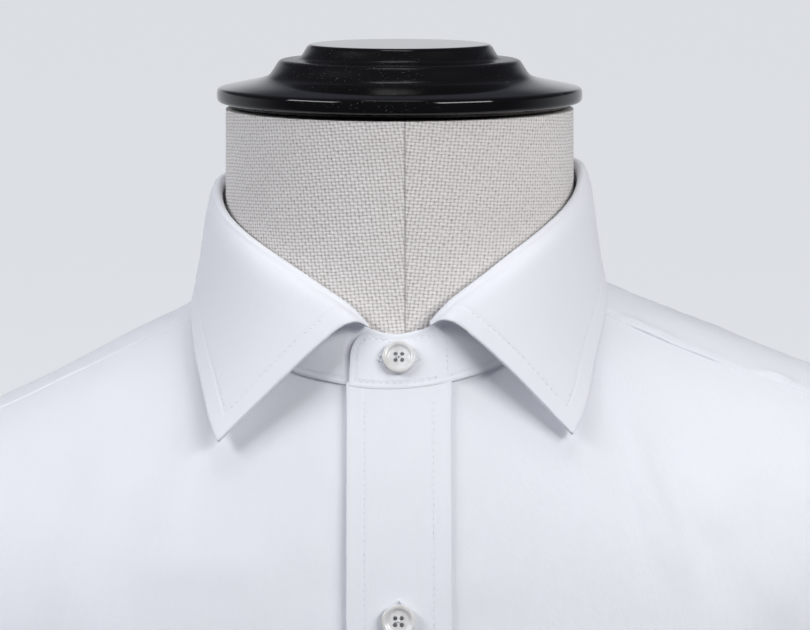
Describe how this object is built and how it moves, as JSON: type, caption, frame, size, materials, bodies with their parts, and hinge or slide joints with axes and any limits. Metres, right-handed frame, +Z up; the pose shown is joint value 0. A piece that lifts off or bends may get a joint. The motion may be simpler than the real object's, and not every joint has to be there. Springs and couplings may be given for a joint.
{
  "type": "detachable shirt collar on a dress form",
  "caption": "Shirt collar on its stand, sewn to short fronts with a button placket, a yoke and a back, worn by a limbless dress form.",
  "frame": {"origin": "on the flat underside of the form's base, straight below the middle of the neck", "axes": "+Z up; the wearer faces -Y; +X is the wearer's left"},
  "size_m": [0.424, 0.2571, 0.5953],
  "materials": {
    "collar_twill": "smooth white cotton twill, stiffened, matt",
    "shirt_twill": "soft white cotton twill, matt",
    "pearl_button": "off-white pearl button, softly glossy",
    "linen": "undyed plain-woven linen, matt, with slubs",
    "black_wood": "turned wood, black gloss lacquer"
  },
  "bodies": {
    "root": {"collar_leaf": "collar_twill", "collar_stand": "collar_twill", "front_left": "shirt_twill", "front_right": "shirt_twill", "placket": "shirt_twill", "yoke": "shirt_twill", "back": "shirt_twill", "button_collar": "pearl_button", "button_1": "pearl_button", "button_2": "pearl_button", "button_3": "pearl_button", "form_body": "linen", "form_cap": "black_wood", "form_base": "black_wood"}
  },
  "joints": []
}
